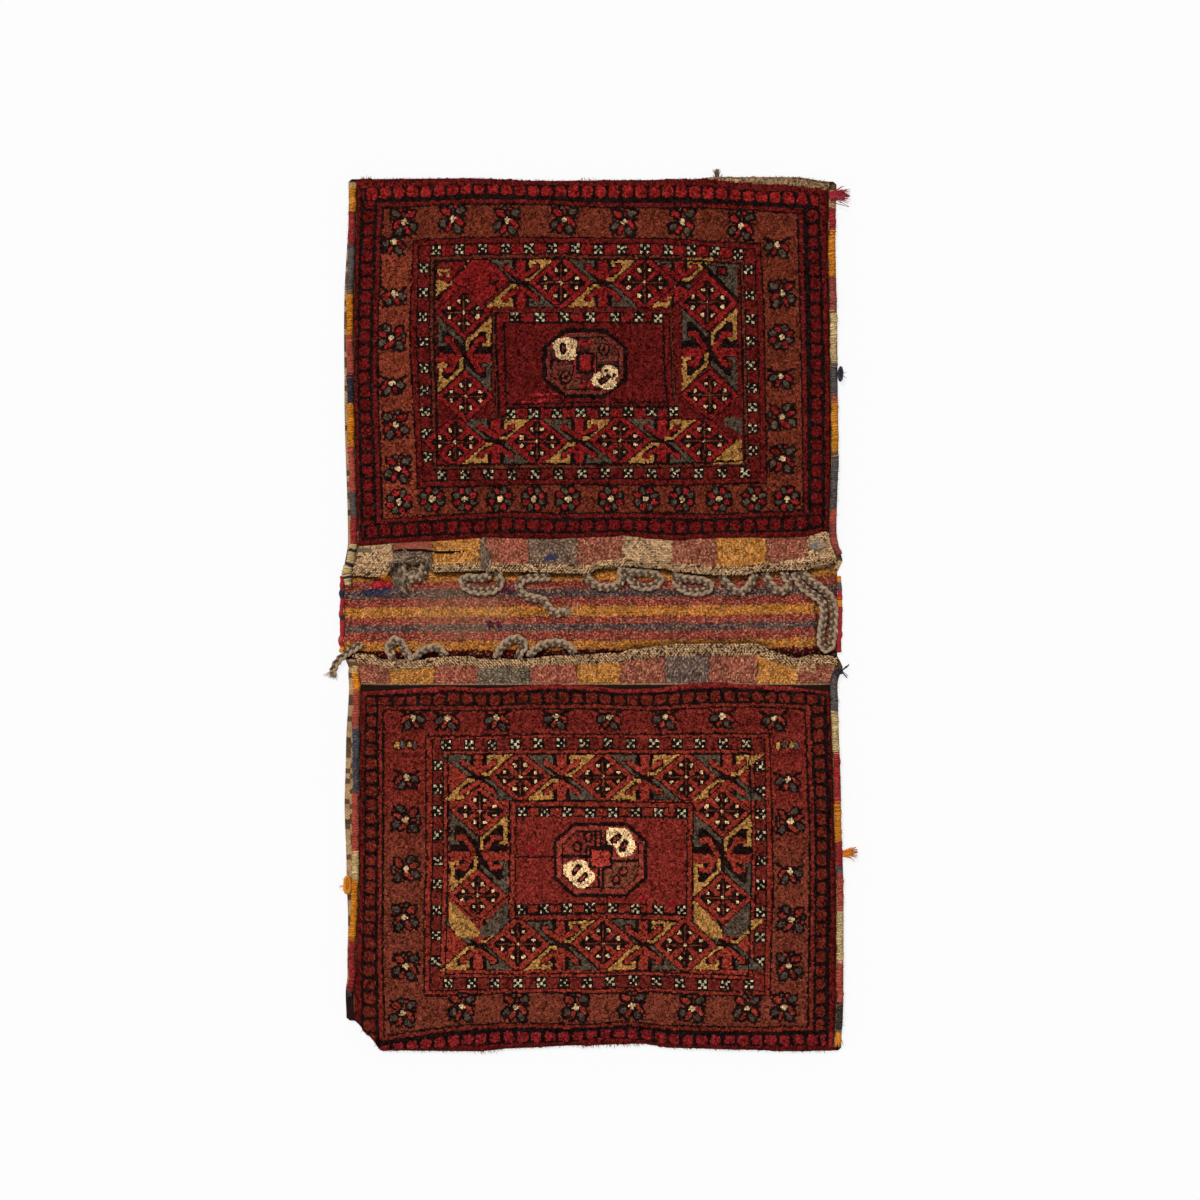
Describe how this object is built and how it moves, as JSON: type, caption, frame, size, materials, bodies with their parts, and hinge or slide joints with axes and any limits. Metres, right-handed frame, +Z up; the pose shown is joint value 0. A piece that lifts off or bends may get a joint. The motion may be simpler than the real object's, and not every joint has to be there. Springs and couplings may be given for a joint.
{
  "type": "saddle bag",
  "caption": "Double saddle bag lying flat, with knotted-pile pouch faces, a striped flat-woven bridge, braided closure loops and wool-bound sides.",
  "frame": {"origin": "under the middle of the bag, on the surface that it lies on, measured without its braided cords", "axes": "+X across the bag to its right, +Y along the bag to the upper pouch, +Z up out of the pouches' faces"},
  "size_m": [0.6333, 1.0606, 0.0145],
  "materials": {
    "strip_wool": "knotted wool pile and flat-woven wool in dark red, brown and ivory",
    "binding_wool": "wrapped wool yarn in red, orange, grey and cream lengths",
    "selvage_wool": "wrapped red wool yarn",
    "goat_hair": "braided grey-brown goat hair",
    "orange_wool": "loose orange wool yarn",
    "blue_wool": "knotted dark blue wool yarn",
    "red_wool": "frayed red wool yarn"
  },
  "bodies": {
    "root": {"lower_face": "strip_wool", "lower_left_side": "strip_wool", "lower_right_side": "strip_wool", "lower_fold": "strip_wool", "lower_back": "strip_wool", "bridge": "strip_wool", "upper_back": "strip_wool", "upper_fold": "strip_wool", "upper_left_side": "strip_wool", "upper_right_side": "strip_wool", "upper_face": "strip_wool", "upper_left_binding": "binding_wool", "upper_right_binding": "binding_wool", "lower_left_binding": "binding_wool", "lower_right_binding": "binding_wool", "bridge_left_selvage": "selvage_wool", "bridge_right_selvage": "selvage_wool", "upper_loop_1": "goat_hair", "upper_loop_2": "goat_hair", "upper_loop_3": "goat_hair", "upper_loop_4": "goat_hair", "upper_loop_5": "goat_hair", "upper_loop_6": "goat_hair", "upper_loop_7": "goat_hair", "upper_loop_8": "goat_hair", "long_braid": "goat_hair", "lower_loop_1": "goat_hair", "lower_loop_2": "goat_hair", "lower_loop_3": "goat_hair", "lower_loop_4": "goat_hair", "left_braid_end": "goat_hair", "corner_tassel": "red_wool", "top_yarn_tuft": "goat_hair", "right_blue_knot": "blue_wool", "right_blue_tie": "blue_wool", "right_orange_tuft": "orange_wool", "left_orange_knot": "orange_wool", "bottom_right_tuft": "orange_wool", "bridge_knot_1": "blue_wool", "bridge_knot_2": "blue_wool", "bridge_knot_3": "blue_wool", "bridge_knot_4": "blue_wool"}
  },
  "joints": []
}
